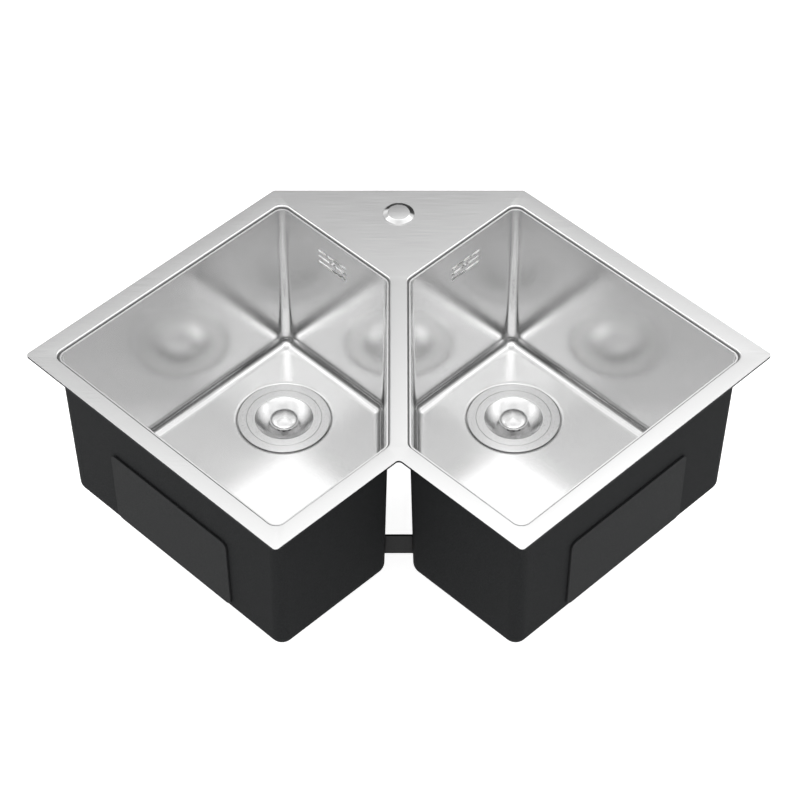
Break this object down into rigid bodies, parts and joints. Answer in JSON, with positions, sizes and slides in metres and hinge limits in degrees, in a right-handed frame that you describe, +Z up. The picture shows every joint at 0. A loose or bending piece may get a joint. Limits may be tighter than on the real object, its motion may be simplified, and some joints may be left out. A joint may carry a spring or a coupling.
{
  "type": "corner kitchen sink",
  "caption": "Stainless corner kitchen sink: chevron deck with angled bowls, basket strainers, overflows and a covered tap hole.",
  "frame": {"origin": "in the worktop plane (underside of the seal strip), midway across the deck and midway from the front tips to the back edge", "axes": "+X from the left bowl to the right bowl, +Y from the front notch to the back edge, +Z up out of the bowls"},
  "size_m": [0.8558, 0.5722, 0.3203],
  "materials": {
    "brushed_deck": "fine straight brushing from side to side",
    "satin_bowl": "satin, soft glow",
    "grey_foam": "closed-cell foam",
    "coated_bar": "black coat",
    "sound_coat": "matt, finely speckled sprayed coat",
    "sound_pad": "matt rubber sheet",
    "satin_cover": "satin",
    "black_rubber": "matt",
    "zinc_plate": "zinc plated",
    "white_plastic": "moulded polypropylene",
    "satin_strainer": "fine satin",
    "brass": "turned",
    "spring_steel": "drawn wire",
    "polished_basket": "polished dish and knob, satin rim"
  },
  "bodies": {
    "sink_body": {"deck": "brushed_deck", "seal_strip": "grey_foam", "bowl_brace": "coated_bar", "left_bowl": "satin_bowl", "right_bowl": "satin_bowl", "left_sound_coat": "sound_coat", "right_sound_coat": "sound_coat", "left_front_pad": "sound_pad", "right_front_pad": "sound_pad", "left_floor_pad": "sound_pad", "right_floor_pad": "sound_pad", "tap_hole_cover": "satin_cover", "tap_cover_seal": "black_rubber", "tap_cover_washer": "zinc_plate", "tap_cover_wing_nut": "zinc_plate", "left_overflow_housing": "white_plastic", "right_overflow_housing": "white_plastic", "left_overflow_seal": "black_rubber", "right_overflow_seal": "black_rubber", "left_overflow_screw": "satin_cover", "right_overflow_screw": "satin_cover", "left_strainer_body": "satin_strainer", "right_strainer_body": "satin_strainer", "left_flange_seal": "grey_foam", "right_flange_seal": "grey_foam", "left_sink_gasket": "black_rubber", "right_sink_gasket": "black_rubber", "left_waste_housing": "white_plastic", "right_waste_housing": "white_plastic", "left_centre_screw": "satin_strainer", "right_centre_screw": "satin_strainer", "left_screw_insert": "brass", "right_screw_insert": "brass", "left_stem_clip": "spring_steel", "right_stem_clip": "spring_steel"},
    "left_basket": {"left_basket": "polished_basket"},
    "left_plunger": {"left_plunger": "polished_basket", "left_stopper": "black_rubber"},
    "right_basket": {"right_basket": "polished_basket"},
    "right_plunger": {"right_plunger": "polished_basket", "right_stopper": "black_rubber"}
  },
  "joints": [
    {"name": "left_basket_lift", "type": "slide", "parent": "sink_body", "child": "left_basket", "axis": [0, 0, 1], "range_m": [0, 0.3]},
    {"name": "left_plunger_pull", "type": "slide", "parent": "left_basket", "child": "left_plunger", "axis": [0, 0, 1], "range_m": [0, 0.008]},
    {"name": "right_basket_lift", "type": "slide", "parent": "sink_body", "child": "right_basket", "axis": [0, 0, 1], "range_m": [0, 0.3]},
    {"name": "right_plunger_pull", "type": "slide", "parent": "right_basket", "child": "right_plunger", "axis": [0, 0, 1], "range_m": [0, 0.008]}
  ]
}
